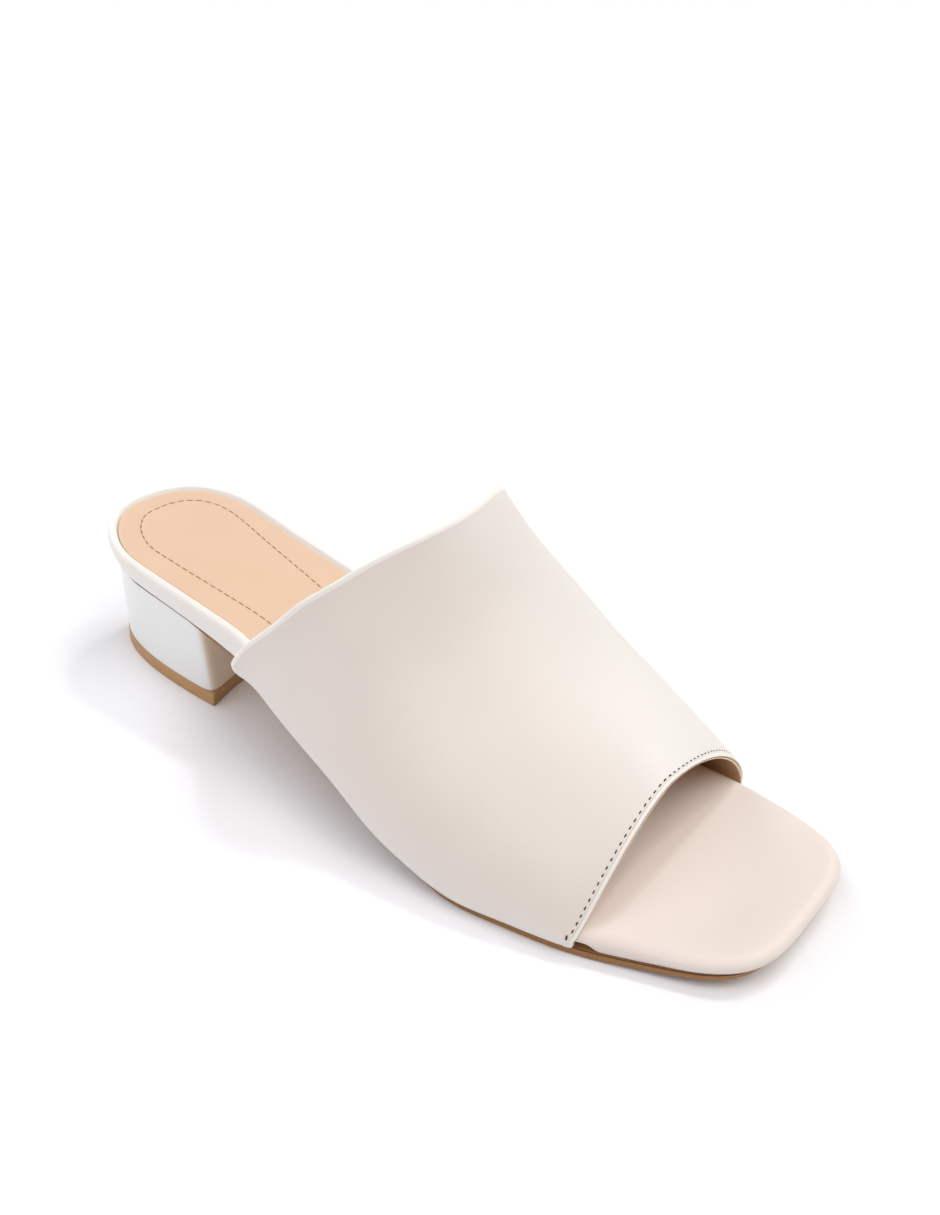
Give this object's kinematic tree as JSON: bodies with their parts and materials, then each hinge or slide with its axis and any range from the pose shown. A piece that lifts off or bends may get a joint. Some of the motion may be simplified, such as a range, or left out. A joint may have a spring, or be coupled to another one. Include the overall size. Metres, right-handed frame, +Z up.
{
  "type": "slide sandal",
  "caption": "Square-toe slide sandal with one wide vamp band, cushioned sock, wrapped footbed edge and a low covered block heel.",
  "frame": {"origin": "middle of the shoe's box, on the floor", "axes": "+X towards the toe, +Y towards the inner side of the right foot, +Z up"},
  "size_m": [0.2514, 0.0944, 0.0889],
  "materials": {
    "outsole_rubber": "matt tan rubber sheet",
    "footbed_wrap": "smooth satin synthetic leather",
    "sock_leather": "soft matt peach lining leather",
    "heel_wrap": "smooth satin synthetic leather",
    "top_piece_rubber": "matt tan heel rubber",
    "upper_leather": "smooth satin synthetic leather"
  },
  "bodies": {
    "root": {"outsole": "outsole_rubber", "footbed": "footbed_wrap", "insole_sock": "sock_leather", "heel_block": "heel_wrap", "heel_top_piece": "top_piece_rubber", "upper": "upper_leather"}
  },
  "joints": []
}
